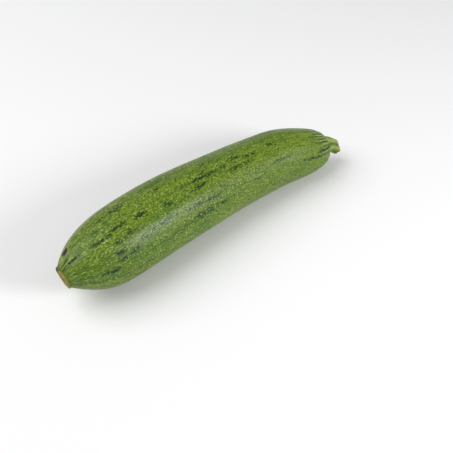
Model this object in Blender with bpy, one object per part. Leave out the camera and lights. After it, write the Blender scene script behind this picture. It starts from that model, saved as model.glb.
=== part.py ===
"""A zucchini, lying on its side: the fruit, the cut stub of its stem, and the dry scar that the flower left.

Metres, +Z up. X runs from the blossom end to the stem end. The fruit bows to +Y in the plane that it lies on,
and rests on a narrow flat strip of its underside. The origin is at the bottom of the middle of its box.
"""

import math

import bmesh
import bpy
from mathutils import Matrix, Vector, noise

# The fruit
FRUIT_LENGTH = 0.172  # along the bowed centre line, without the stem and the scar
GREATEST_RADIUS = 0.0193
NECK_RADIUS = 0.0157
WIDEST_AT = 0.26  # share of the length, from the blossom end
NECK_AT = 0.95
BOW = math.radians(14.5)  # how far the centre line turns from end to end

BLOSSOM_RADIUS = 0.0058  # of the flat end that carries the scar
NOSE_LENGTH = 0.052
NOSE_POWER = 3.65  # a higher one keeps the fruit full for longer before the end
NOSE_SHIFT = Vector((0, 0.0009, 0.0013))  # how far the blossom end's middle lies off the arc
NOSE_SHIFT_LENGTH = 0.022
SCAR_TILT = 0.24  # slope of the blossom end's face against the centre line
SCAR_TILT_TOWARDS = math.radians(-40)  # the side of the face that is pushed back

ROOT_RADIUS = 0.006  # of the flat end that carries the stem
SHOULDER_LENGTH = 0.034
ROOT_SHIFT = Vector((0, -0.0038, -0.0021))  # how far the stem's root lies off the arc
ROOT_SHIFT_LENGTH = 0.036

# Ribs, furrows and lumps of the skin
RIB_COUNT = 10
FURROW_AT = math.radians(33)  # of one main furrow, which parts two ribs. A lesser one runs down each rib
WAVER = math.radians(2.5)
RIB_HEIGHT = 0.00014
PUCKER_DEPTH = 0.0009  # of the main furrows where they run into the stem
PUCKER_LENGTH = 0.018
NOSE_FURROW_DEPTH = 0.0003
NOSE_FURROW_LENGTH = 0.030
LESSER_FURROW = 0.6  # its depth, as a share of a main one's
UNEVEN = 0.3  # how much the furrows differ from each other round the fruit
UNEVEN_TURNS = (3, 7)  # how many times round the fruit they deepen and fade
LUMP_HEIGHT = 0.0004
LUMP_LENGTH = 0.034
LUMPS_ROUND = 1.1

# The underside
FLATTENED = 0.0004  # how much of the round underside the resting strip takes off
RESTING_SHARPNESS = 14  # ribs and lumps fade out this fast towards the strip

# The stem
STEM_LENGTH = 0.0072
STEM_GAP = 0.0003
STEM_FOOT_RADIUS = 0.0062
STEM_RADIUS = 0.0045
STEM_CUT_RADIUS = 0.0049
STEM_FLARE = 0.0032  # length over which the foot spreads
STEM_LEAN = Vector((-0.35, -0.30))  # how far its end bends aside and down, in its lengths
STEM_CORNERS = 5
STEM_CORNER_AT = math.radians(34)
FOOT_CORNER = 0.13  # how far a corner stands out, as a share of the radius
CUT_CORNER = 0.10
CUT_EDGE = 0.0003
PITH_RADIUS = 0.0021  # of the soft middle, which has sunk below the cut
PITH_RIM_RADIUS = 0.0027
PITH_DEPTH = 0.0006

# The blossom scar
SCAR_RADIUS = 0.0057
SCAR_THICKNESS = 0.0009
SCAR_GAP = 0.0003
SCAR_EDGE = 0.0002
SCAR_RIM_FROM = 0.0005  # the rim's swell begins at this height over the disc's back
SCAR_RIM_WIDTH = 0.0017
SCAR_DISH = 0.0004  # how deep the middle lies below the rim
SCAR_DISH_RADIUS = 0.0037
SCAR_NUB_RADIUS = 0.0011
SCAR_NUB_FOOT_RADIUS = 0.0019
SCAR_NUB_HEIGHT = 0.0005
SCAR_WAVINESS = 0.035  # how far the edge waves in and out, as a share of the radius
SCAR_WAVES, SCAR_LESSER_WAVES = 5, 7  # how many of each go round it
SCAR_LESSER_WAVE = 0.6  # the lesser waves' height, as a share of the others'
SCAR_WAVES_TURNED = 0.6
SCAR_LIP = 0.08  # how far a narrow part of the edge stands out, as a share of the radius
SCAR_LIP_AT = math.radians(34)
SCAR_LIP_SHARPNESS = 8

# The middle of the whole box, measured from the blossom end of the centre line
ORIGIN = Vector((0.0886, 0.0043, 0.0))

FRUIT_RINGS = 54
RINGS_CROWDED = 0.75  # 0 spaces the fruit's rings evenly, and 1 crowds them most towards its ends
FRUIT_SIDES = 80
STEM_RINGS = 12
STEM_SIDES = 40
SCAR_RIM_RINGS = 6
SCAR_SIDES = 40
SHARP_ANGLE = math.radians(40)

FRUIT_COLOUR, FRUIT_ROUGHNESS = (0.20, 0.27, 0.055, 1), 0.40
STEM_COLOUR, STEM_ROUGHNESS = (0.30, 0.38, 0.11, 1), 0.55
SCAR_COLOUR, SCAR_ROUGHNESS = (0.36, 0.24, 0.085, 1), 0.80


def heading(along):
    """The centre line's direction in plan at this distance from the blossom end. It is an arc of a circle."""
    return BOW * (0.5 - along / FRUIT_LENGTH)


def body_radius(along):
    """The radius without its two ends: it swells to the widest place and narrows to the neck."""
    share = (along / FRUIT_LENGTH - WIDEST_AT) / (NECK_AT - WIDEST_AT)
    swell = (1 + math.cos(math.pi * min(max(share, 0), 1))) / 2
    return NECK_RADIUS + (GREATEST_RADIUS - NECK_RADIUS) * swell


def plain_radius(along):
    body = body_radius(along)
    if along < FRUIT_LENGTH / 2:
        to_end = max(1 - along / NOSE_LENGTH, 0)
        return BLOSSOM_RADIUS + (body - BLOSSOM_RADIUS) * (1 - to_end**NOSE_POWER)
    to_end = max(1 - (FRUIT_LENGTH - along) / SHOULDER_LENGTH, 0)
    return ROOT_RADIUS + (body - ROOT_RADIUS) * math.sqrt(1 - to_end**2)


def near_end(distance, reach):
    """1 at an end of the fruit, falling smoothly to 0 at this reach from it."""
    share = min(max(1 - distance / reach, 0), 1)
    return share * share * (3 - 2 * share)


def centre(along):
    """A point of the centre line. Its height follows the body, so that the underside is level."""
    bow_radius = FRUIT_LENGTH / BOW
    turn = heading(along)
    arc = Vector((
        bow_radius * (math.sin(BOW / 2) - math.sin(turn)),
        bow_radius * (math.cos(turn) - math.cos(BOW / 2)),
        body_radius(along) - FLATTENED,
    ))
    at_blossom = near_end(along, NOSE_SHIFT_LENGTH)
    at_stem = near_end(FRUIT_LENGTH - along, ROOT_SHIFT_LENGTH)
    return arc + NOSE_SHIFT * at_blossom + ROOT_SHIFT * at_stem - ORIGIN


def relief(along, angle):
    """How far the skin stands out of its plain radius, for ribs, furrows at both ends and lumps."""
    turned = angle - FURROW_AT - WAVER * math.sin(2 * math.pi * along / FRUIT_LENGTH)
    rib = -math.cos(RIB_COUNT * turned)
    narrow = ((1 + math.cos(2 * RIB_COUNT * turned)) / 2) ** 2
    lesser = LESSER_FURROW + (1 - LESSER_FURROW) * (1 - rib) / 2
    few, many = UNEVEN_TURNS
    furrow = narrow * lesser * (1 + UNEVEN * math.cos(few * turned) + UNEVEN * math.sin(many * turned))
    at_stem = near_end(FRUIT_LENGTH - along, PUCKER_LENGTH)
    at_blossom = near_end(along, NOSE_FURROW_LENGTH)
    lump = noise.noise(Vector((
        along / LUMP_LENGTH,
        LUMPS_ROUND * math.cos(angle),
        LUMPS_ROUND * math.sin(angle),
    )))
    height = RIB_HEIGHT * rib - (PUCKER_DEPTH * at_stem + NOSE_FURROW_DEPTH * at_blossom) * furrow
    height += LUMP_HEIGHT * lump * (1 - at_stem) * (1 - at_blossom)
    towards_strip = max(-math.sin(angle), 0) ** RESTING_SHARPNESS
    return height * (1 - towards_strip)


def across(along, angle, radius):
    """The offset from the centre line. An angle of 0 is the bow's outer side, and 90 degrees is the top."""
    turn = heading(along)
    outward = Vector((-math.sin(turn), math.cos(turn), 0))
    return radius * (math.cos(angle) * outward + math.sin(angle) * Vector((0, 0, 1)))


def tilted(along, angle, radius):
    """How far a point near the blossom end moves along the centre line, so that the end's face leans."""
    return SCAR_TILT * near_end(along, NOSE_LENGTH / 2) * radius * math.cos(angle - SCAR_TILT_TOWARDS)


def skin_point(along, angle):
    radius = plain_radius(along) + relief(along, angle)
    moved = along + tilted(along, angle, radius)
    point = centre(moved) + across(moved, angle, radius)
    point.z = max(point.z, 0)
    return point


def end_frame(along, tilt):
    """A frame at an end of the centre line, with X to the outer side of the bow and Z along the line.

    A tilt shears it, so that flat shapes in its XY plane lean as the blossom end's face does.
    """
    turn = heading(along)
    forward = Vector((math.cos(turn), math.sin(turn), 0))
    outward = Vector((-math.sin(turn), math.cos(turn), 0))
    lean = Vector((tilt * math.cos(SCAR_TILT_TOWARDS), tilt * math.sin(SCAR_TILT_TOWARDS), 0))
    axes = Matrix((outward, Vector((0, 0, 1)), forward)).transposed()
    shear = Matrix(((1, 0, 0), (0, 1, 0), (lean.x, lean.y, 1)))
    return Matrix.Translation(centre(along)) @ (axes @ shear).to_4x4()


def loft(name, rings, colour, roughness):
    """A closed solid through rings of points, all in the same turning order, with a flat cap on each end."""
    mesh = bpy.data.meshes.new(name)
    bm = bmesh.new()
    loops = [[bm.verts.new(point) for point in ring] for ring in rings]
    for first, second in zip(loops, loops[1:]):
        for i in range(len(first)):
            j = (i + 1) % len(first)
            bm.faces.new((first[i], first[j], second[j], second[i]))
    bm.faces.new(loops[0])
    bm.faces.new(loops[-1])
    bmesh.ops.recalc_face_normals(bm, faces=bm.faces)
    bm.to_mesh(mesh)
    bm.free()
    mesh.shade_smooth()
    mesh.set_sharp_from_angle(angle=SHARP_ANGLE)
    mesh.materials.append(material(name, colour, roughness))
    made = bpy.data.objects.new(name, mesh)
    bpy.context.scene.collection.objects.link(made)
    return made


def material(name, colour, roughness):
    made = bpy.data.materials.new(name)
    made.use_nodes = True
    shader = made.node_tree.nodes["Principled BSDF"]
    shader.inputs["Base Color"].default_value = colour
    shader.inputs["Roughness"].default_value = roughness
    shader.inputs["Metallic"].default_value = 0
    return made


def angles(sides):
    return [2 * math.pi * i / sides for i in range(sides)]


def ring_places():
    """Distances from the blossom end, closer together at the ends, where the radius changes fast."""
    places = []
    for i in range(FRUIT_RINGS):
        even = i / (FRUIT_RINGS - 1)
        crowded = (1 - math.cos(math.pi * even)) / 2
        places.append(FRUIT_LENGTH * (even + (crowded - even) * RINGS_CROWDED))
    return places


def make_fruit():
    rings = [[skin_point(along, angle) for angle in angles(FRUIT_SIDES)] for along in ring_places()]
    return loft("fruit", rings, FRUIT_COLOUR, FRUIT_ROUGHNESS)


def stem_profile():
    """(distance from the fruit, radius, how far the corners stand out) from the foot to the cut face."""
    foot = [(0, STEM_FOOT_RADIUS - CUT_EDGE, FOOT_CORNER), (CUT_EDGE, STEM_FOOT_RADIUS, FOOT_CORNER)]
    shaft = []
    for i in range(1, STEM_RINGS + 1):
        distance = CUT_EDGE + (STEM_LENGTH - 2 * CUT_EDGE) * i / STEM_RINGS
        spread = near_end(distance, STEM_FLARE)
        share = distance / STEM_LENGTH
        radius = STEM_RADIUS + (STEM_CUT_RADIUS - STEM_RADIUS) * share**2
        radius += (STEM_FOOT_RADIUS - STEM_RADIUS) * spread
        shaft.append((distance, radius, CUT_CORNER + (FOOT_CORNER - CUT_CORNER) * spread))
    cut = [
        (STEM_LENGTH, STEM_CUT_RADIUS - CUT_EDGE, CUT_CORNER),
        (STEM_LENGTH, PITH_RIM_RADIUS, CUT_CORNER / 2),
        (STEM_LENGTH - PITH_DEPTH, PITH_RADIUS, 0),
        (STEM_LENGTH - PITH_DEPTH, PITH_RADIUS / 3, 0),
    ]
    return foot + shaft + cut


def make_stem():
    rings = []
    for distance, radius, corner in stem_profile():
        ring = []
        bend = STEM_LEAN * distance**2 / STEM_LENGTH
        for angle in angles(STEM_SIDES):
            out = radius * (1 + corner * math.cos(STEM_CORNERS * (angle - STEM_CORNER_AT)))
            ring.append(Vector((bend.x + out * math.cos(angle), bend.y + out * math.sin(angle), distance)))
        rings.append(ring)
    stem = loft("stem", rings, STEM_COLOUR, STEM_ROUGHNESS)
    stem.data.transform(end_frame(FRUIT_LENGTH, 0) @ Matrix.Translation((0, 0, STEM_GAP)))
    return stem


def scar_profile():
    """(radius, distance from the fruit) from the back of the disc over its rim to the nub in the middle."""
    back = [(SCAR_RADIUS / 2, 0), (SCAR_RADIUS - SCAR_EDGE, 0), (SCAR_RADIUS, SCAR_EDGE)]
    rim = []
    for i in range(SCAR_RIM_RINGS):
        turn = math.pi * i / (SCAR_RIM_RINGS - 1)
        rise = (SCAR_THICKNESS - SCAR_RIM_FROM) * math.sin(turn)
        rim.append((SCAR_RADIUS - SCAR_RIM_WIDTH / 2 * (1 - math.cos(turn)), SCAR_RIM_FROM + rise))
    floor = SCAR_THICKNESS - SCAR_DISH
    nub = [
        (SCAR_DISH_RADIUS, floor),
        (SCAR_NUB_FOOT_RADIUS, floor),
        (SCAR_NUB_RADIUS, floor + SCAR_NUB_HEIGHT / 2),
        (SCAR_NUB_RADIUS / 2, floor + SCAR_NUB_HEIGHT),
    ]
    return back + rim + nub


def make_blossom_scar():
    rings = []
    for radius, distance in scar_profile():
        ring = []
        for angle in angles(SCAR_SIDES):
            wave = math.cos(SCAR_WAVES * angle + SCAR_WAVES_TURNED)
            wave += SCAR_LESSER_WAVE * math.sin(SCAR_LESSER_WAVES * angle)
            lip = max(math.cos(angle - SCAR_LIP_AT), 0) ** SCAR_LIP_SHARPNESS
            out = radius * (1 + (SCAR_WAVINESS * wave + SCAR_LIP * lip) * radius / SCAR_RADIUS)
            ring.append(Vector((out * math.cos(angle), out * math.sin(angle), -distance)))
        rings.append(ring)
    scar = loft("blossom_scar", rings, SCAR_COLOUR, SCAR_ROUGHNESS)
    scar.data.transform(end_frame(0, SCAR_TILT) @ Matrix.Translation((0, 0, -SCAR_GAP)))
    return scar


def clear_scene():
    for leftover in list(bpy.data.objects):
        bpy.data.objects.remove(leftover)


def main():
    clear_scene()
    make_fruit()
    make_stem()
    make_blossom_scar()


main()
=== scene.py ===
"""The looks of a zucchini that lies on its side: its skin, its cut stem and its blossom scar.

Metres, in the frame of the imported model: X runs from the blossom end to the stem end, +Y is the outer side
of the fruit's bow, and +Z is up. Each fine piece repeats the form of the solid that it replaces, and adds
what is too fine for the solid. Patterns on the skin are laid out in millimetres.
"""

import math
import random

import bpy
import numpy as np
from mathutils import Matrix, Vector, noise


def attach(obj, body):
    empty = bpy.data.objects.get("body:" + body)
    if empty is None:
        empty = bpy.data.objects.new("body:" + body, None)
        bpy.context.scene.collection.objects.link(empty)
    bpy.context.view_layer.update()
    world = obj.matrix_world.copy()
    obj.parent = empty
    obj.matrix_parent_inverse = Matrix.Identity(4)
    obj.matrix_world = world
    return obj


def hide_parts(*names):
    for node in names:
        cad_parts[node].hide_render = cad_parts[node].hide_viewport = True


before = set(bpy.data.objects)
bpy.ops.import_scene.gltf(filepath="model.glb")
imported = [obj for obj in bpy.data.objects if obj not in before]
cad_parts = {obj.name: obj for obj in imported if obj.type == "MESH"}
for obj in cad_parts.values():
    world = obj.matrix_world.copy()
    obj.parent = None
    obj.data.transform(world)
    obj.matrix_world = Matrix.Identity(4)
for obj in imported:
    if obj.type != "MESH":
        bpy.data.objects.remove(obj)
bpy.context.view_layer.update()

BODY = "root"
MM = 0.001

# The camera stands where the photograph was taken from
PHOTO_SIDE = 453  # pixels
FOCAL_LENGTH = 740  # pixels
SENSOR_WIDTH = 36  # mm
CAMERA_PLACE = Vector((-0.1840, -0.2106, 0.2933))
CAMERA_PITCH = math.radians(47)  # how far it looks down
CAMERA_ROLL = math.radians(3.7)
CAMERA_HEADING = math.radians(-43.774)  # from +Y, towards +X

# Light
SKY_COLOUR, SKY_STRENGTH = (1, 1, 1, 1), 0.34
KEY_DIRECTION = Vector((0.37, -0.81, 0.46))  # from the fruit towards the light
KEY_DISTANCE = 0.75
KEY_SIZE = 0.26
KEY_POWER = 3.4
FILL_DIRECTION = Vector((-0.5, 0.35, 0.8))
FILL_DISTANCE = 1.0
FILL_SIZE = 1.0
FILL_POWER = 8.6
FLOOR_SIDE = 4.0
FLOOR_COLOUR = (0.83, 0.83, 0.835, 1)
FLOOR_ROUGHNESS = 0.9

# The fruit, as in its solid
FRUIT_LENGTH = 0.172  # along the bowed centre line
GREATEST_RADIUS = 0.0193
NECK_RADIUS = 0.0157
WIDEST_AT = 0.26
NECK_AT = 0.95
BOW = math.radians(14.5)
BLOSSOM_RADIUS = 0.0058
NOSE_LENGTH = 0.052
NOSE_POWER = 3.65
NOSE_SHIFT = np.array((0, 0.0009, 0.0013))
NOSE_SHIFT_LENGTH = 0.022
SCAR_TILT = 0.24
SCAR_TILT_TOWARDS = math.radians(-40)
ROOT_RADIUS = 0.006
SHOULDER_LENGTH = 0.034
ROOT_SHIFT = np.array((0, -0.0038, -0.0021))
ROOT_SHIFT_LENGTH = 0.036
RIB_COUNT = 10
FURROW_AT = math.radians(33)
WAVER = math.radians(2.5)
RIB_HEIGHT = 0.00014
PUCKER_DEPTH = 0.0009
PUCKER_LENGTH = 0.018
NOSE_FURROW_DEPTH = 0.0003
NOSE_FURROW_LENGTH = 0.030
LESSER_FURROW = 0.6
UNEVEN = 0.3
UNEVEN_TURNS = (3, 7)
LUMP_HEIGHT = 0.0004
LUMP_LENGTH = 0.034
LUMPS_ROUND = 1.1
FLATTENED = 0.0004
RESTING_SHARPNESS = 14
ORIGIN = np.array((0.0886, 0.0043, 0.0))

# Finer form of the skin
RIPPLE_HEIGHT = 0.00006
RIPPLE_LENGTH = 0.009
RIPPLES_ROUND = 3.2
FRUIT_RINGS = 400
FRUIT_SIDES = 240
RINGS_CROWDED = 0.6

# The stem, as in its solid, but with its foot sunk into the fruit
STEM_LENGTH = 0.0072
STEM_GAP = 0.0003
STEM_FOOT_RADIUS = 0.0062
STEM_RADIUS = 0.0045
STEM_CUT_RADIUS = 0.0049
STEM_FLARE = 0.0032
STEM_LEAN = (-0.35, -0.30)
STEM_CORNERS = 5
STEM_CORNER_AT = math.radians(34)
FOOT_CORNER = 0.13
CUT_CORNER = 0.10
CUT_EDGE = 0.0003
PITH_RADIUS = 0.0021
PITH_RIM_RADIUS = 0.0027
PITH_DEPTH = 0.0006
STEM_SUNK = 0.0008
STEM_FLUTES = 15
FLUTE_DEPTH = 0.02  # share of the radius
STEM_RINGS = 60
STEM_SIDES = 150
CUT_RINGS = 30

# The blossom scar, as in its solid, but with its back sunk into the fruit
SCAR_RADIUS = 0.0057
SCAR_THICKNESS = 0.0009
SCAR_GAP = 0.0003
SCAR_RIM_FROM = 0.0005
SCAR_RIM_WIDTH = 0.0017
SCAR_DISH = 0.0004
SCAR_NUB_RADIUS = 0.0011
SCAR_NUB_FOOT_RADIUS = 0.0019
SCAR_NUB_HEIGHT = 0.0005
SCAR_WAVINESS = 0.035
SCAR_WAVES, SCAR_LESSER_WAVES = 5, 7
SCAR_LESSER_WAVE = 0.6
SCAR_WAVES_TURNED = 0.6
SCAR_LIP = 0.08
SCAR_LIP_AT = math.radians(34)
SCAR_LIP_SHARPNESS = 8
SCAR_STAIN_SHARPNESS = 1.5  # of the dark stain on the lip's side
SCAR_SUNK = 0.0006
SCAR_CRUMBLE = 0.00012  # height of the crumbly surface
SCAR_CRUMB_SIZE = 0.0009
SCAR_CRUMB_LAYER = 0.5  # where the crumbs' noise is cut
SCAR_INNERMOST = 0.02  # the first ring's radius, as a share of the scar's
SCAR_RINGS = 70
SCAR_EDGE_RINGS = 7
SCAR_SIDES = 150

SHARP_ANGLE = math.radians(50)
PATTERN_RADIUS = 18.0  # mm, of the cylinder that the skin's pattern is laid out on

# Dark flecks on the seen side: from, to (mm from the blossom end), angle (degrees), width (mm), strength
SEEN_FLECKS = [
    (15, 25, 107.5, 1.7, 1.0),
    (26, 34, 105.5, 1.7, 0.9),
    (39, 46, 109, 1.9, 1.0),
    (56, 60, 117, 1.9, 1.0),
    (76, 87, 105, 2.0, 1.0),
    (86, 93, 105, 1.5, 0.8),
    (74, 84, 117, 1.7, 0.8),
    (84, 87, 98, 1.1, 0.6),
    (96, 99, 104, 1.5, 0.9),
    (98, 107, 116, 1.9, 1.0),
    (104, 110, 97, 1.3, 0.6),
    (106, 116, 116, 1.5, 0.8),
    (112, 122, 104, 1.3, 0.7),
    (130, 134, 101, 1.3, 0.7),
    (128, 140, 137, 1.2, 0.7),
    (148, 160, 156, 1.3, 0.5),
    (159, 165, 149, 1.3, 0.8),
    (32, 40, 77, 2.3, 1.1),
    (25, 32, 75, 1.1, 0.8),
    (51, 60, 71, 1.1, 0.6),
    (70, 75, 72, 1.0, 0.5),
    (88, 95, 81, 1.1, 0.6),
    (19, 21, 88, 1.1, 0.6),
    (31, 34, 121, 1.3, 0.6),
    (24, 27.5, 125, 1.1, 0.5),
    (22, 26, 139, 1.9, 1.0),
    (29, 33, 148, 2.2, 1.1),
    (22, 27, 151, 1.5, 0.7),
    (14, 21, 162, 1.7, 0.8),
    (58, 60, 86, 1.1, 0.8),
    (113, 115, 151, 1.1, 0.8),
    (87, 90, 158, 1.4, 0.8),
    (70, 80, 157, 2.2, 0.6),
    (78, 88, 143, 1.9, 0.8),
    (36, 40, 139, 1.7, 0.9),
    (43, 62, 136, 1.3, 0.9),
    (66, 79, 140, 1.5, 0.8),
    (8, 12, 70, 0.5, 0.9),
    (9, 13, 77, 0.5, 0.9),
    (1, 6, 88, 0.6, 0.8),
]
SEEN_FROM, SEEN_TO = 34, 214  # degrees, the side that the list above covers
MARK_LONGER = 1.5  # mm, because noise eats into the ends of a mark
MARK_WIDER = 1.4  # times, because noise eats into its sides

# Flecks on the other side, along the furrows, as dense as on the seen side
OTHER_FLECKS = 42
OTHER_SEED = 7
OTHER_START = (4, 152)  # mm, where one may begin
FLECK_LENGTHS = (3, 13)  # mm
FLECK_WIDTHS = (1.0, 2.2)  # mm
FLECK_STRENGTHS = (0.6, 1.0)
FLECK_STRAY = 2.5  # degrees

# Painted shade in the creases and painted highlights on the ridges where the skin is drawn into the stem;
# near the scar, dark streaks and more painted highlights. They are laid out like the flecks.
# Painted shade in the stem end's creases, and dark streaks on the skin near the scar
CREASE_SHADE_AND_STREAKS = [
    (158, 167, 87, 0.6, 0.9),
    (161, 169, 97, 0.5, 0.8),
    (159, 170, 105, 0.65, 1.0),
    (162, 171, 116, 0.5, 0.8),
    (159, 172, 125, 0.7, 1.0),
    (164, 172, 137, 0.6, 0.9),
    (159, 172, 147, 0.65, 1.0),
    (148, 171, 158, 0.55, 0.85),
    (163, 172, 170, 0.6, 0.9),
    (160, 170, 77, 0.6, 0.8),
    (160, 170, 66, 0.6, 0.8),
    (162, 171, 40, 0.6, 0.8),
    (163, 172, 15, 0.6, 0.9),
    (161, 171, -20, 0.6, 0.8),
    (164, 172, -60, 0.6, 0.8),
    (163, 172, -105, 0.6, 0.8),
    (162, 171, -140, 0.6, 0.8),
    (164, 172, -166, 0.6, 0.8),
    (0.5, 6, 100.5, 0.6, 1.1),
    (4.5, 9.5, 103, 0.7, 1.1),
    (1.5, 5, 91, 0.3, 0.7),
]
# Painted highlights on the ridges between the creases at the stem end, and near the scar
RIDGE_HIGHLIGHTS = [
    (162, 170, 92, 0.6, 0.9),
    (163, 171, 101, 0.5, 0.9),
    (162, 171, 111, 0.6, 0.9),
    (163, 171, 120, 0.5, 0.8),
    (164, 172, 131, 0.6, 0.8),
    (164, 172, 142, 0.6, 0.8),
    (160, 172, 152, 0.5, 0.7),
    (163, 172, 82, 0.6, 0.7),
    (165, 172, 28, 0.7, 0.6),
    (165, 172, -40, 0.7, 0.6),
    (165, 172, -82, 0.7, 0.6),
    (165, 172, -122, 0.7, 0.6),
    (165, 172, 178, 0.7, 0.6),
    (1.5, 5.0, 64, 0.5, 0.6),
    (1.5, 7, 97, 0.4, 0.6),
]

# Dry brown scabs near the scar
BLEMISHES = [
    (4.9, 7.4, 61.5, 2.5, 1.1),
    (0.5, 5.0, 43, 0.6, 0.7),
    (-1.2, 0.8, 38, 3.4, 1.0),
]


# Form of the fruit, for whole arrays of distances along it and angles round it


def heading(along):
    return BOW * (0.5 - along / FRUIT_LENGTH)


def body_radius(along):
    share = np.clip((along / FRUIT_LENGTH - WIDEST_AT) / (NECK_AT - WIDEST_AT), 0, 1)
    return NECK_RADIUS + (GREATEST_RADIUS - NECK_RADIUS) * (1 + np.cos(np.pi * share)) / 2


def plain_radius(along):
    body = body_radius(along)
    to_blossom = np.clip(1 - along / NOSE_LENGTH, 0, 1)
    to_stem = np.clip(1 - (FRUIT_LENGTH - along) / SHOULDER_LENGTH, 0, 1)
    nose = BLOSSOM_RADIUS + (body - BLOSSOM_RADIUS) * (1 - to_blossom**NOSE_POWER)
    shoulder = ROOT_RADIUS + (body - ROOT_RADIUS) * np.sqrt(1 - to_stem**2)
    return np.where(along < FRUIT_LENGTH / 2, nose, shoulder)


def near_end(distance, reach):
    """1 at an end, falling smoothly to 0 at this reach from it."""
    share = np.clip(1 - distance / reach, 0, 1)
    return share * share * (3 - 2 * share)


def centre(along):
    bow_radius = FRUIT_LENGTH / BOW
    turn = heading(along)
    arc = np.stack([
        bow_radius * (math.sin(BOW / 2) - np.sin(turn)),
        bow_radius * (np.cos(turn) - math.cos(BOW / 2)),
        body_radius(along) - FLATTENED,
    ], axis=-1)
    at_blossom = near_end(along, NOSE_SHIFT_LENGTH)[..., None]
    at_stem = near_end(FRUIT_LENGTH - along, ROOT_SHIFT_LENGTH)[..., None]
    return arc + NOSE_SHIFT * at_blossom + ROOT_SHIFT * at_stem - ORIGIN


def furrow_turn(along, angle):
    """The angle from the furrow lines, which waver a little along the fruit."""
    return angle - FURROW_AT - WAVER * np.sin(2 * np.pi * along / FRUIT_LENGTH)


def furrow_closeness(along, angle):
    """1 on a furrow's line, falling to 0 between furrows."""
    return ((1 + np.cos(2 * RIB_COUNT * furrow_turn(along, angle))) / 2) ** 2


def noise_over(along, angle, length, rounds):
    """Smooth noise from about -1 to 1 over the skin. With more rounds it is finer round the fruit."""
    places = zip(
        (along / length).ravel(),
        (rounds * np.cos(angle)).ravel(),
        (rounds * np.sin(angle)).ravel(),
    )
    return np.array([noise.noise(place) for place in places]).reshape(along.shape)


def relief(along, angle):
    turned = furrow_turn(along, angle)
    rib = -np.cos(RIB_COUNT * turned)
    lesser = LESSER_FURROW + (1 - LESSER_FURROW) * (1 - rib) / 2
    furrow = furrow_closeness(along, angle) * lesser
    few, many = UNEVEN_TURNS
    furrow = furrow * (1 + UNEVEN * np.cos(few * turned) + UNEVEN * np.sin(many * turned))
    at_stem = near_end(FRUIT_LENGTH - along, PUCKER_LENGTH)
    at_blossom = near_end(along, NOSE_FURROW_LENGTH)
    lump = noise_over(along, angle, LUMP_LENGTH, LUMPS_ROUND)
    ripple = noise_over(along, angle, RIPPLE_LENGTH, RIPPLES_ROUND)
    height = RIB_HEIGHT * rib - (PUCKER_DEPTH * at_stem + NOSE_FURROW_DEPTH * at_blossom) * furrow
    height = height + LUMP_HEIGHT * lump * (1 - at_stem) * (1 - at_blossom) + RIPPLE_HEIGHT * ripple
    return height * (1 - np.clip(-np.sin(angle), 0, 1) ** RESTING_SHARPNESS)


def across(along, angle, radius):
    turn = heading(along)
    outward = np.stack([-np.sin(turn), np.cos(turn), np.zeros_like(turn)], axis=-1)
    up = np.array((0.0, 0.0, 1.0))
    return radius[..., None] * (np.cos(angle)[..., None] * outward + np.sin(angle)[..., None] * up)


def skin_points(along, angle):
    radius = plain_radius(along) + relief(along, angle)
    lean = SCAR_TILT * near_end(along, NOSE_LENGTH / 2) * radius * np.cos(angle - SCAR_TILT_TOWARDS)
    moved = along + lean
    points = centre(moved) + across(moved, angle, radius)
    points[..., 2] = np.maximum(points[..., 2], 0)
    return points


def end_frame(along, tilt):
    """A frame at an end of the centre line, with X to the outer side of the bow and Z along the line."""
    turn = heading(along)
    forward = Vector((math.cos(turn), math.sin(turn), 0))
    outward = Vector((-math.sin(turn), math.cos(turn), 0))
    lean = (tilt * math.cos(SCAR_TILT_TOWARDS), tilt * math.sin(SCAR_TILT_TOWARDS))
    axes = Matrix((outward, Vector((0, 0, 1)), forward)).transposed()
    shear = Matrix(((1, 0, 0), (0, 1, 0), (lean[0], lean[1], 1)))
    return Matrix.Translation(Vector(centre(np.array(along)))) @ (axes @ shear).to_4x4()


# Meshes


def angles(sides):
    return np.arange(sides) * 2 * np.pi / sides


def loft(name, rings, poles):
    """A closed mesh through rings of points, with a point on each end and a map for baking its patterns."""
    count, sides = rings.shape[:2]
    points = np.concatenate([rings.reshape(-1, 3), np.array(poles)])
    near = np.arange(sides)
    after = (near + 1) % sides
    faces = []
    places = []
    for i in range(count - 1):
        low, high = i * sides, (i + 1) * sides
        faces += np.stack([low + near, low + after, high + after, high + near], axis=1).tolist()
        for j in range(sides):
            places += [(i, j), (i, j + 1), (i + 1, j + 1), (i + 1, j)]
    first_pole, last_pole = count * sides, count * sides + 1
    last = (count - 1) * sides
    for j in range(sides):
        faces.append((int(after[j]), j, first_pole))
        places += [(0, j + 1), (0, j), (0, j + 0.5)]
        faces.append((last + j, last + int(after[j]), last_pole))
        places += [(count - 1, j), (count - 1, j + 1), (count - 1, j + 0.5)]
    mesh = bpy.data.meshes.new(name)
    mesh.from_pydata(points.tolist(), [], faces)
    mesh.shade_smooth()
    mesh.set_sharp_from_angle(angle=SHARP_ANGLE)
    bake_map = mesh.uv_layers.new(name="OFBake")
    shares = np.array(places) / (count - 1, sides)
    bake_map.uv.foreach_set("vector", shares.astype(np.float32).ravel())
    made = bpy.data.objects.new(name, mesh)
    bpy.context.scene.collection.objects.link(made)
    return made


def paint(piece, name, values):
    """Gives each point of a lofted piece a number or a vector that its material reads.

    The point on an end gets the mean of its ring.
    """
    sides = values.shape[1]
    flat = values.reshape(values.shape[0] * sides, -1)
    ends = np.stack([flat[:sides].mean(0), flat[-sides:].mean(0)])
    everything = np.concatenate([flat, ends]).astype(np.float32)
    if flat.shape[1] == 3:
        layer = piece.data.attributes.new(name, "FLOAT_VECTOR", "POINT")
        layer.data.foreach_set("vector", everything.ravel())
    else:
        layer = piece.data.attributes.new(name, "FLOAT", "POINT")
        layer.data.foreach_set("value", everything.ravel())


# Shader nodes

NOISE_MIDDLE = 0.5
DOT_RANDOMNESS = 0.9
PLAIN = ((1, 1, 1), (0, 0, 0))  # neither scaled nor shifted


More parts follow.
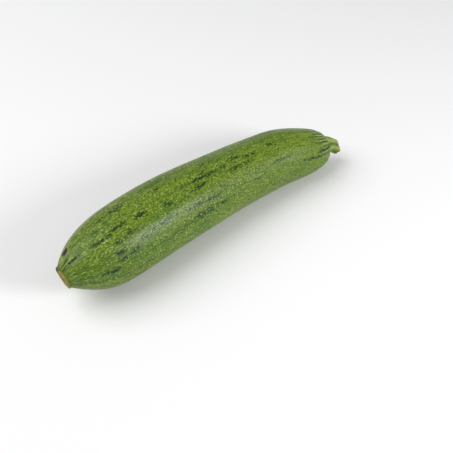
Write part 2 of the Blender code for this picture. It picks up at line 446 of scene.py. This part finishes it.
def add_node(tree, kind, inputs=None, **settings):
    """A new node. An input, by name or number, is set to a value or linked to another node's output."""
    made = tree.nodes.new(kind)
    for name, value in settings.items():
        setattr(made, name, value)
    for name, value in (inputs or {}).items():
        if isinstance(value, bpy.types.NodeSocket):
            tree.links.new(value, made.inputs[name])
        else:
            made.inputs[name].default_value = value
    return made


def read(tree, name, output="Fac"):
    return add_node(tree, "ShaderNodeAttribute", attribute_name=name).outputs[output]


def maths(tree, operation, first, second=0.0):
    return add_node(tree, "ShaderNodeMath", {0: first, 1: second}, operation=operation).outputs[0]


def ramp(tree, value, low, high, to_low=0.0, to_high=1.0):
    """The value mapped smoothly from one range to another, and held at its ends."""
    inputs = {"Value": value, "From Min": low, "From Max": high, "To Min": to_low, "To Max": to_high}
    return add_node(tree, "ShaderNodeMapRange", inputs, interpolation_type="SMOOTHSTEP").outputs["Result"]


def blend(tree, factor, first, second):
    """Two colours blended."""
    inputs = {0: factor, 6: first, 7: second}
    return add_node(tree, "ShaderNodeMix", inputs, data_type="RGBA").outputs[2]


def scaled(tree, place, factors, shift):
    """Places scaled apart in each direction, so that a pattern read from them is stretched."""
    inputs = {0: place, 1: factors, 2: shift}
    return add_node(tree, "ShaderNodeVectorMath", inputs, operation="MULTIPLY_ADD").outputs[0]


def cloud(tree, place, factors, shift, scale, detail, roughness):
    """Noise from 0 to 1, with most of it near NOISE_MIDDLE."""
    stretched = scaled(tree, place, factors, shift)
    inputs = {"Vector": stretched, "Scale": scale, "Detail": detail, "Roughness": roughness}
    return add_node(tree, "ShaderNodeTexNoise", inputs).outputs["Fac"]


def ragged(tree, value, noise_value, raggedness):
    """The value, moved up and down by noise, so that what is cut from it has a ragged edge."""
    off_middle = maths(tree, "SUBTRACT", noise_value, NOISE_MIDDLE)
    return maths(tree, "ADD", value, maths(tree, "MULTIPLY", off_middle, raggedness))


def dots(tree, place, factors, shift, spacing, chances, sizes, softness, strength):
    """How much of the dots' colour shows. Each dot has its own chance, which sets its size in spacings."""
    stretched = scaled(tree, place, factors, shift)
    inputs = {"Vector": stretched, "Scale": 1 / spacing, "Randomness": DOT_RANDOMNESS}
    cells = add_node(tree, "ShaderNodeTexVoronoi", inputs)
    chance = add_node(tree, "ShaderNodeSeparateColor", {0: cells.outputs["Color"]}).outputs[0]
    size = ramp(tree, chance, *chances, *sizes)
    inside = maths(tree, "SUBTRACT", size, cells.outputs["Distance"])
    return ramp(tree, inside, 0, softness, 0, strength)


def set_bump(tree, shader, height, strength, distance):
    inputs = {"Height": height, "Strength": strength, "Distance": distance}
    bump = add_node(tree, "ShaderNodeBump", inputs)
    tree.links.new(bump.outputs["Normal"], shader.inputs["Normal"])


def new_material(name):
    made = bpy.data.materials.new(name)
    made.use_nodes = True
    return made, made.node_tree, made.node_tree.nodes["Principled BSDF"]


# The skin

YELLOW_GREEN = (0.171, 0.243, 0.018, 1)
GRASS_GREEN = (0.118, 0.203, 0.014, 1)
DEEP_GREEN = (0.042, 0.096, 0.010, 1)
STROKE_GREEN = (0.022, 0.058, 0.010, 1)
DOT_COLOUR = (0.38, 0.46, 0.12, 1)
DASH_COLOUR = (0.29, 0.39, 0.075, 1)
FLECK_COLOUR = (0.011, 0.036, 0.005, 1)
FLECK_EDGE_COLOUR = (0.025, 0.068, 0.009, 1)
# Painted shade in the creases at the stem end, and the dark streaks near the scar
CREASE_SHADE_AND_STREAK_COLOUR = (0.011, 0.038, 0.007, 1)
# Colour of the painted highlights on the ridges
RIDGE_HIGHLIGHT_COLOUR = (0.235, 0.325, 0.110, 1)
BLEMISH_COLOUR = (0.016, 0.011, 0.008, 1)
BLEMISH_RIM_COLOUR = (0.23, 0.22, 0.10, 1)

# Noise on the skin: scaling in each direction, shift in mm, scale per mm, detail, roughness
PATCH_NOISE = ((0.45, 1, 1), (0, 0, 0), 0.075, 3, 0.5)
BAND_NOISE = ((0.22, 1, 1), (40, 0, 0), 0.2, 2, 0.5)
STREAK_NOISE = ((0.2, 1, 1), (0, 9, 0), 0.85, 3, 0.6)
GRAIN_NOISE = ((0.45, 1, 1), (0, 31, 0), 1.7, 2, 0.6)
STROKE_NOISE = ((0.5, 1, 1), (7, 31, 3), 1.1, 3, 0.65)
MARK_NOISE = ((0.32, 1, 1), (0, 0, 23), 1.7, 2, 0.55)
GLOSS_NOISE = ((0.6, 1, 1), (0, 0, 0), 0.35, 3, 0.5)
PIT_NOISE = (*PLAIN, 1.1, 3, 0.6)

# The noise's value where its colour starts to show, the value where it shows most, and its shares there
PATCHES_SHOW = (0.36, 0.64, 0, 1)
BANDS_SHOW = (0.46, 0.62, 0, 1)
STREAKS_SHOW = (0.47, 0.66, 0, 0.5)
GRAIN_SHOWS = (0.46, 0.62, 0, 0.8)
STROKES_SHOW = (0.55, 0.65, 0, 0.9)

# Two distances from the blossom end in mm, and the shares there of what fades between them
PATCHES_FADE = (60, 130, 1, 0.65)
BANDS_FADE = (50, 110, 0.8, 0.35)
GRAIN_FADES = (80, 150, 1, 0.85)
SMALL_DOTS_FADE = (70, 140, 1, 0.75)
STREAKS_AT_NOSE = (0, 1, 1, 1.5)  # the same for streaks, but by closeness to the blossom end

# A mark's field where its colour starts to show and where it is full, and how ragged its edge is
FLECK_EDGES_SHOW = (0.1, 0.4, 4.5)
FLECKS_SHOW = (0.3, 0.6, 4.5)
RIDGE_HIGHLIGHTS_SHOW = (0.0, 0.5, 0.8)
CREASE_SHADE_AND_STREAKS_SHOW = (0.0, 0.4, 0.8)
BLEMISH_RIM_SHOWS = (-0.6, -0.2, 1.8)
BLEMISH_RIM_STRENGTH = 0.65
BLEMISH_SHOWS = (-0.1, 0.35, 2.4)

# Dots: scaling in each direction, shift and spacing in mm, chances, sizes in spacings, softness, strength
LARGE_DOTS = ((0.75, 1, 1), (0, 0, 0), 1.4, (0.1, 1.0), (0.06, 0.30), 0.12, 0.8)
SMALL_DOTS = ((0.5, 1, 1), (5, 5, 5), 0.8, (0.1, 0.9), (0.15, 0.42), 0.15, 0.55)
DASHES = ((0.2, 1, 1), (2, 8, 4), 0.9, (0.2, 1.0), (0.12, 0.42), 0.15, 0.8)

# Gloss
SKIN_ROUGHNESS = (0.3, 0.7, 0.32, 0.44)  # two values of the noise, and the roughness there
SKIN_SPECULAR = 0.19
SKIN_COAT = 0.12
SKIN_COAT_ROUGHNESS = 0.22
SKIN_BUMP = (0.8, 0.0003)  # strength, depth
DOTS_LOWER = 0.25  # how deep the large dots lie, as a share of the pits' depth


def mark(tree, place, name, low, high, raggedness):
    """How much of a mark's colour shows. The attribute holds its field, and noise breaks up the edge."""
    field = ragged(tree, read(tree, name), cloud(tree, place, *MARK_NOISE), raggedness)
    return ramp(tree, field, low, high)


def ground_colour(tree, place, along, nose):
    """Yellow green with greener patches and bands, and with darker streaks and strokes along the fruit."""
    # Broad patches, fainter towards the stem
    patches = ramp(tree, cloud(tree, place, *PATCH_NOISE), *PATCHES_SHOW)
    patches = maths(tree, "MULTIPLY", patches, ramp(tree, along, *PATCHES_FADE))
    colour = blend(tree, patches, YELLOW_GREEN, GRASS_GREEN)

    # Bands that follow the furrows here and there, also fainter towards the stem
    bands = ramp(tree, cloud(tree, place, *BAND_NOISE), *BANDS_SHOW)
    bands = maths(tree, "MULTIPLY", bands, read(tree, "row"))
    bands = maths(tree, "MULTIPLY", bands, ramp(tree, along, *BANDS_FADE))
    colour = blend(tree, bands, colour, DEEP_GREEN)

    # Thin streaks, stronger towards the blossom end
    streaks = ramp(tree, cloud(tree, place, *STREAK_NOISE), *STREAKS_SHOW)
    streaks = maths(tree, "MULTIPLY", streaks, ramp(tree, nose, *STREAKS_AT_NOSE))
    colour = blend(tree, streaks, colour, DEEP_GREEN)

    # Fine grain and short strokes, calmer towards the stem
    calmer = ramp(tree, along, *GRAIN_FADES)
    grain = ramp(tree, cloud(tree, place, *GRAIN_NOISE), *GRAIN_SHOWS)
    colour = blend(tree, maths(tree, "MULTIPLY", grain, calmer), colour, DEEP_GREEN)
    strokes = ramp(tree, cloud(tree, place, *STROKE_NOISE), *STROKES_SHOW)
    return blend(tree, maths(tree, "MULTIPLY", strokes, calmer), colour, STROKE_GREEN)


def with_marks(tree, place, colour):
    """The colour with ragged dark flecks, painted highlights on the ridges at both ends, painted shade in
    the creases at the stem end, and dark streaks near the scar.
    """
    colour = blend(tree, mark(tree, place, "fleck", *FLECK_EDGES_SHOW), colour, FLECK_EDGE_COLOUR)
    colour = blend(tree, mark(tree, place, "fleck", *FLECKS_SHOW), colour, FLECK_COLOUR)
    # Painted highlights on the ridges at both ends
    colour = blend(tree, mark(tree, place, "ridge_highlight", *RIDGE_HIGHLIGHTS_SHOW), colour, RIDGE_HIGHLIGHT_COLOUR)
    # Painted shade in the creases at the stem end, and dark streaks near the scar
    return blend(tree, mark(tree, place, "crease_shade_and_streak", *CREASE_SHADE_AND_STREAKS_SHOW), colour, CREASE_SHADE_AND_STREAK_COLOUR)


def with_scabs(tree, place, colour):
    """The colour with dry scabs that have a paler rim."""
    rim = maths(tree, "MULTIPLY", mark(tree, place, "blemish", *BLEMISH_RIM_SHOWS), BLEMISH_RIM_STRENGTH)
    colour = blend(tree, rim, colour, BLEMISH_RIM_COLOUR)
    return blend(tree, mark(tree, place, "blemish", *BLEMISH_SHOWS), colour, BLEMISH_COLOUR)


def set_waxy_gloss(tree, place, shader, large_dots):
    """A soft gloss, broken up by fine pits. The large dots lie a little lower than the skin round them."""
    gloss = ramp(tree, cloud(tree, place, *GLOSS_NOISE), *SKIN_ROUGHNESS)
    tree.links.new(gloss, shader.inputs["Roughness"])
    shader.inputs["Specular IOR Level"].default_value = SKIN_SPECULAR
    shader.inputs["Coat Weight"].default_value = SKIN_COAT
    shader.inputs["Coat Roughness"].default_value = SKIN_COAT_ROUGHNESS
    pits = cloud(tree, place, *PIT_NOISE)
    height = maths(tree, "SUBTRACT", pits, maths(tree, "MULTIPLY", large_dots, DOTS_LOWER))
    set_bump(tree, shader, height, *SKIN_BUMP)


def skin_material():
    made, tree, shader = new_material("zucchini_skin")
    place = read(tree, "skin_place", "Vector")
    along = add_node(tree, "ShaderNodeSeparateXYZ", {0: place}).outputs[0]
    nose = read(tree, "nose")
    colour = with_marks(tree, place, ground_colour(tree, place, along, nose))

    # Pale dots of two sizes, the small ones fainter towards the stem, and pale dashes near the blossom end
    large_dots = dots(tree, place, *LARGE_DOTS)
    small_dots = dots(tree, place, *SMALL_DOTS)
    small_dots = maths(tree, "MULTIPLY", small_dots, ramp(tree, along, *SMALL_DOTS_FADE))
    colour = blend(tree, maths(tree, "MAXIMUM", large_dots, small_dots), colour, DOT_COLOUR)
    dashes = maths(tree, "MULTIPLY", dots(tree, place, *DASHES), nose)
    colour = blend(tree, dashes, colour, DASH_COLOUR)

    tree.links.new(with_scabs(tree, place, colour), shader.inputs["Base Color"])
    set_waxy_gloss(tree, place, shader, large_dots)
    return made


def other_flecks():
    """Flecks for the side that the photograph doesn't show, each on a furrow's line."""
    draw = random.Random(OTHER_SEED)
    step = 180 / RIB_COUNT
    first_row = math.ceil((SEEN_TO - math.degrees(FURROW_AT)) / step)
    last_row = math.floor((SEEN_FROM + 360 - math.degrees(FURROW_AT)) / step)
    made = []
    for _ in range(OTHER_FLECKS):
        row = draw.randint(first_row, last_row)
        angle = math.degrees(FURROW_AT) + row * step + draw.uniform(-FLECK_STRAY, FLECK_STRAY)
        start = draw.uniform(*OTHER_START)
        end = start + draw.uniform(*FLECK_LENGTHS)
        width = draw.uniform(*FLECK_WIDTHS)
        made.append((start, end, angle, width, draw.uniform(*FLECK_STRENGTHS)))
    return made


def oval_field(along, angle, middle, angle_degrees, length, width):
    """1 in the middle of a long oval on the skin, 0 on its edge, and less outside it. Lengths are in mm."""
    turn = (angle - math.radians(angle_degrees) + np.pi) % (2 * np.pi) - np.pi
    lengthwise = (along / MM - middle) / (length / 2)
    sideways = turn * plain_radius(along) / MM / (width / 2)
    return 1 - np.sqrt(lengthwise**4 + sideways**2)


def marks_field(along, angle, marks):
    """The highest of the marks' ovals at each point. It is -1 far from all of them."""
    field = np.full(along.shape, -1.0)
    for start, end, degrees, width, strength in marks:
        length = end - start + MARK_LONGER
        oval = oval_field(along, angle, (start + end) / 2, degrees, length, width * MARK_WIDER)
        field = np.maximum(field, oval * strength)
    return field


def make_fruit():
    even = np.linspace(0, 1, FRUIT_RINGS)
    crowded = (1 - np.cos(np.pi * even)) / 2
    distances = FRUIT_LENGTH * (even + (crowded - even) * RINGS_CROWDED)
    along, angle = np.meshgrid(distances, angles(FRUIT_SIDES), indexing="ij")
    rings = skin_points(along, angle)
    poles = [rings[0].mean(0), rings[-1].mean(0)]
    fruit = loft("zucchini_fruit", rings, poles)
    round_place = [PATTERN_RADIUS * np.cos(angle), PATTERN_RADIUS * np.sin(angle)]
    paint(fruit, "skin_place", np.stack([along / MM, *round_place], axis=-1))
    paint(fruit, "fleck", marks_field(along, angle, SEEN_FLECKS + other_flecks()))
    paint(fruit, "row", furrow_closeness(along, angle))
    # Where the painted crease shade and the dark streaks near the scar go
    paint(fruit, "crease_shade_and_streak", marks_field(along, angle, CREASE_SHADE_AND_STREAKS))
    # Where the painted ridge highlights go
    paint(fruit, "ridge_highlight", marks_field(along, angle, RIDGE_HIGHLIGHTS))
    paint(fruit, "nose", near_end(along, NOSE_LENGTH))
    paint(fruit, "blemish", marks_field(along, angle, BLEMISHES))
    fruit.data.materials.append(skin_material())
    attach(fruit, BODY)
    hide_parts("fruit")


# The stem

STEM_GREEN = (0.190, 0.255, 0.016, 1)
# Colour of the stem's dark threads, and also of the painted shade in the grooves between its corners
STEM_DARK_THREADS_AND_SHADE = (0.055, 0.125, 0.018, 1)
STEM_PALE = (0.290, 0.340, 0.070, 1)
CUT_PALE = (0.36, 0.37, 0.13, 1)
CUT_BROWN = (0.23, 0.18, 0.07, 1)

# Noise on the stem, laid out as the skin's is
FIBRE_NOISE = ((1, 1, 0.12), (0, 0, 0), 2.2, 3, 0.6)
THREAD_NOISE = ((1, 1, 0.06), (3, 3, 3), 3.0, 2, 0.5)
CUT_NOISE = ((1, 1, 0.5), (0, 0, 0), 1.6, 4, 0.7)
FIBRES_SHOW = (0.35, 0.65)
HOLLOW_SHADE_SHOWS = (0.1, 0.9, 0, 0.85)
THREADS_SHOW = (0.56, 0.7, 0, 0.7)
CUT_BROWN_SHOWS = (0.4, 0.7)
STEM_ROUGHNESS = (0.3, 0.7, 0.5, 0.65)  # two values of the noise, and the roughness there
STEM_BUMP = (0.6, 0.0003)  # strength, depth


def stem_side(distance):
    """(radius, how far the corners stand out) at this distance from the fruit."""
    spread = near_end(distance, STEM_FLARE)
    share = np.clip(distance / STEM_LENGTH, 0, 1)
    radius = STEM_RADIUS + (STEM_CUT_RADIUS - STEM_RADIUS) * share**2
    radius = radius + (STEM_FOOT_RADIUS - STEM_RADIUS) * spread
    return radius, CUT_CORNER + (FOOT_CORNER - CUT_CORNER) * spread


def stem_rings():
    """(distance from the fruit, share of the outline's radius, 1 if on the cut face) of each ring."""
    rings = []
    for i in range(STEM_RINGS):
        share = i / (STEM_RINGS - 1)
        rings.append((-STEM_SUNK + (STEM_LENGTH - CUT_EDGE + STEM_SUNK) * share, 1.0, 0.0))
    for i in range(1, CUT_RINGS):
        inward = i / CUT_RINGS * STEM_CUT_RADIUS
        left = STEM_CUT_RADIUS - inward
        edge = CUT_EDGE * math.sqrt(max(1 - (1 - min(inward / CUT_EDGE, 1)) ** 2, 0))
        sunk = PITH_DEPTH * float(np.clip((PITH_RIM_RADIUS - left) / (PITH_RIM_RADIUS - PITH_RADIUS), 0, 1))
        rings.append((STEM_LENGTH - CUT_EDGE + edge - sunk, left / STEM_CUT_RADIUS, 1.0))
    return rings


def make_stem():
    turn = angles(STEM_SIDES)
    corners = np.cos(STEM_CORNERS * (turn - STEM_CORNER_AT))
    flutes = np.cos(STEM_FLUTES * (turn - STEM_CORNER_AT))
    rings, places, cuts, hollow_shades = [], [], [], []
    for distance, share, cut in stem_rings():
        radius, corner = stem_side(np.array(max(distance, 0)))
        out = radius * share * (1 + (corner * corners + FLUTE_DEPTH * flutes) * share**2)
        ring = np.stack([out * np.cos(turn), out * np.sin(turn), np.full_like(turn, distance)], axis=-1)
        places.append(ring / MM)
        bend = max(distance, 0) ** 2 / STEM_LENGTH
        rings.append(ring + (STEM_LEAN[0] * bend, STEM_LEAN[1] * bend, 0))
        cuts.append(np.full_like(turn, cut))
        # Painted shade in the grooves between the stem's corners
        hollow_shades.append(np.maximum(-corners, 0) * share)
    rings = np.stack(rings)
    poles = [rings[0].mean(0), rings[-1].mean(0)]
    stem = loft("zucchini_stem", rings, poles)
    paint(stem, "stem_place", np.stack(places))
    paint(stem, "cut", np.stack(cuts))
    paint(stem, "hollow_shade", np.stack(hollow_shades))
    stem.data.transform(end_frame(FRUIT_LENGTH, 0) @ Matrix.Translation((0, 0, STEM_GAP)))
    stem.data.materials.append(stem_material())
    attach(stem, BODY)
    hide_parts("stem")


def stem_material():
    made, tree, shader = new_material("zucchini_stem")
    place = read(tree, "stem_place", "Vector")
    fibres = cloud(tree, place, *FIBRE_NOISE)
    side = blend(tree, ramp(tree, fibres, *FIBRES_SHOW), STEM_GREEN, STEM_PALE)
    # Painted shade darkens the grooves between the corners; the dark threads below are the stem's own colour
    side = blend(tree, ramp(tree, read(tree, "hollow_shade"), *HOLLOW_SHADE_SHOWS), side, STEM_DARK_THREADS_AND_SHADE)
    threads = cloud(tree, place, *THREAD_NOISE)
    side = blend(tree, ramp(tree, threads, *THREADS_SHOW), side, STEM_DARK_THREADS_AND_SHADE)
    grain = cloud(tree, place, *CUT_NOISE)
    face = blend(tree, ramp(tree, grain, *CUT_BROWN_SHOWS), CUT_PALE, CUT_BROWN)
    colour = blend(tree, read(tree, "cut"), side, face)
    tree.links.new(colour, shader.inputs["Base Color"])
    tree.links.new(ramp(tree, fibres, *STEM_ROUGHNESS), shader.inputs["Roughness"])
    set_bump(tree, shader, fibres, *STEM_BUMP)
    return made


# The blossom scar

SCAR_GREEN = (0.120, 0.170, 0.022, 1)
CORK_TAN = (0.40, 0.31, 0.060, 1)
CORK_BROWN = (0.16, 0.085, 0.03, 1)
CORK_DARK = (0.028, 0.017, 0.009, 1)

# Noise on the scar, laid out as the skin's is
CORK_NOISE = (*PLAIN, 1.6, 4, 0.65)
CORK_BROWN_SHOWS = (0.42, 0.62)
INNER_BROWN_SHOWS = (0.75, 0.35, 0, 0.6)  # two shares of the radius, and how much browner it is there
STAIN_SHOWS = (0.35, 0.6)
STAIN_BROWN_SHOWS = (0.40, 0.64)
STAIN_RAGGEDNESS = 1.0
SCAR_GREEN_SHOWS = (-0.5, -0.35)  # mm from the fruit's end, less than 0 outside it
SCAR_GREEN_RAGGEDNESS = 0.6  # mm
SCAR_ROUGHNESS = 0.85
SCAR_BUMP = (0.8, 0.0004)  # strength, depth


def scar_height(radius):
    """How far the scar's face lies from the fruit's end, for a distance from its middle."""
    floor = SCAR_THICKNESS - SCAR_DISH
    rim_share = np.clip((SCAR_RADIUS - radius) / SCAR_RIM_WIDTH, 0, 1)
    rim = SCAR_RIM_FROM + (SCAR_THICKNESS - SCAR_RIM_FROM) * np.sin(np.pi * rim_share)
    dish = np.clip((SCAR_RADIUS - SCAR_RIM_WIDTH / 2 - radius) / (SCAR_RIM_WIDTH / 2), 0, 1)
    height = np.where(dish > 0, floor + (SCAR_THICKNESS - floor) * (1 + np.cos(np.pi * dish)) / 2, rim)
    nub = np.clip((SCAR_NUB_FOOT_RADIUS - radius) / (SCAR_NUB_FOOT_RADIUS - SCAR_NUB_RADIUS / 2), 0, 1)
    return height + SCAR_NUB_HEIGHT * nub * nub * (3 - 2 * nub)


def scar_rings():
    """(radius, height) of each ring, from the middle over the face and its edge down to the sunk back."""
    face = np.linspace(SCAR_INNERMOST, 1, SCAR_RINGS) * SCAR_RADIUS
    heights = scar_height(face)
    edge = np.linspace(heights[-1], -SCAR_SUNK, SCAR_EDGE_RINGS + 1)[1:]
    return list(zip(face, heights)) + [(SCAR_RADIUS, height) for height in edge]


def crumbs(radius, turn):
    """Noise round one ring of the scar."""
    reach = radius / SCAR_CRUMB_SIZE
    places = [(reach * math.cos(t), reach * math.sin(t), SCAR_CRUMB_LAYER) for t in turn]
    return np.array([noise.noise(place) for place in places])


def make_blossom_scar():
    turn = angles(SCAR_SIDES)
    wave = np.cos(SCAR_WAVES * turn + SCAR_WAVES_TURNED)
    wave = wave + SCAR_LESSER_WAVE * np.sin(SCAR_LESSER_WAVES * turn)
    towards_lip = np.clip(np.cos(turn - SCAR_LIP_AT), 0, 1)
    waves_and_lip = SCAR_WAVINESS * wave + SCAR_LIP * towards_lip**SCAR_LIP_SHARPNESS
    rings, places, rims, stains = [], [], [], []
    steps = scar_rings()
    for radius, height in steps:
        share = radius / SCAR_RADIUS
        out = radius * (1 + waves_and_lip * share)
        depth = height + SCAR_CRUMBLE * crumbs(radius, turn) * (height > 0)
        ring = np.stack([out * np.cos(turn), out * np.sin(turn), -depth], axis=-1)
        rings.append(ring)
        places.append(ring / MM)
        rims.append(np.full_like(turn, share))
        stains.append(towards_lip**SCAR_STAIN_SHARPNESS * share**2)
    rings = np.stack(rings)
    poles = [(0, 0, -steps[0][1]), (0, 0, SCAR_SUNK)]
    scar = loft("zucchini_blossom_scar", rings, poles)
    paint(scar, "scar_place", np.stack(places))
    paint(scar, "rim", np.stack(rims))
    paint(scar, "stain", np.stack(stains))
    scar.data.transform(end_frame(0, SCAR_TILT) @ Matrix.Translation((0, 0, -SCAR_GAP)))
    scar.data.materials.append(scar_material())
    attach(scar, BODY)
    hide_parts("blossom_scar")


def scar_material():
    made, tree, shader = new_material("zucchini_scar")
    place = read(tree, "scar_place", "Vector")
    cork = cloud(tree, place, *CORK_NOISE)
    colour = blend(tree, ramp(tree, cork, *CORK_BROWN_SHOWS), CORK_TAN, CORK_BROWN)
    inner = ramp(tree, read(tree, "rim"), *INNER_BROWN_SHOWS)
    colour = blend(tree, inner, colour, CORK_BROWN)

    # The dark stain on the lip's side
    stain = ragged(tree, read(tree, "stain"), cork, STAIN_RAGGEDNESS)
    stain_colour = blend(tree, ramp(tree, cork, *STAIN_BROWN_SHOWS), CORK_DARK, CORK_BROWN)
    colour = blend(tree, ramp(tree, stain, *STAIN_SHOWS), colour, stain_colour)

    # Green where the edge runs down into the fruit
    height = add_node(tree, "ShaderNodeSeparateXYZ", {0: place}).outputs[2]
    sunk = ragged(tree, height, cork, SCAR_GREEN_RAGGEDNESS)
    colour = blend(tree, ramp(tree, sunk, *SCAR_GREEN_SHOWS), colour, SCAR_GREEN)
    tree.links.new(colour, shader.inputs["Base Color"])
    shader.inputs["Roughness"].default_value = SCAR_ROUGHNESS
    set_bump(tree, shader, cork, *SCAR_BUMP)
    return made


# Floor, light and camera


def make_floor():
    mesh = bpy.data.meshes.new("floor")
    half = FLOOR_SIDE / 2
    corners = [(-half, -half, 0), (half, -half, 0), (half, half, 0), (-half, half, 0)]
    mesh.from_pydata(corners, [], [(0, 1, 2, 3)])
    floor = bpy.data.objects.new("floor", mesh)
    bpy.context.scene.collection.objects.link(floor)
    made, _, shader = new_material("floor")
    shader.inputs["Base Color"].default_value = FLOOR_COLOUR
    shader.inputs["Roughness"].default_value = FLOOR_ROUGHNESS
    mesh.materials.append(made)


def make_light(name, direction, distance, size, power):
    lamp = bpy.data.lights.new(name, "AREA")
    lamp.shape = "DISK"
    lamp.size = size
    lamp.energy = power
    made = bpy.data.objects.new(name, lamp)
    made.location = direction.normalized() * distance
    made.rotation_euler = direction.to_track_quat("Z", "Y").to_euler()
    bpy.context.scene.collection.objects.link(made)


def make_sky():
    world = bpy.data.worlds.new("sky")
    world.use_nodes = True
    background = world.node_tree.nodes["Background"]
    background.inputs["Color"].default_value = SKY_COLOUR
    background.inputs["Strength"].default_value = SKY_STRENGTH
    bpy.context.scene.world = world


def make_camera():
    lens = bpy.data.cameras.new("camera")
    lens.sensor_width = SENSOR_WIDTH
    lens.lens = FOCAL_LENGTH * SENSOR_WIDTH / PHOTO_SIDE
    camera = bpy.data.objects.new("camera", lens)
    turn = Matrix.Rotation(CAMERA_HEADING, 4, "Z") @ Matrix.Rotation(math.pi / 2 - CAMERA_PITCH, 4, "X")
    camera.matrix_world = Matrix.Translation(CAMERA_PLACE) @ turn @ Matrix.Rotation(CAMERA_ROLL, 4, "Z")
    bpy.context.scene.collection.objects.link(camera)
    bpy.context.scene.camera = camera


make_camera()
make_sky()
make_light("key", KEY_DIRECTION, KEY_DISTANCE, KEY_SIZE, KEY_POWER)
make_light("fill", FILL_DIRECTION, FILL_DISTANCE, FILL_SIZE, FILL_POWER)
make_floor()
make_fruit()
make_stem()
make_blossom_scar()
bpy.context.scene.view_settings.view_transform = "Standard"
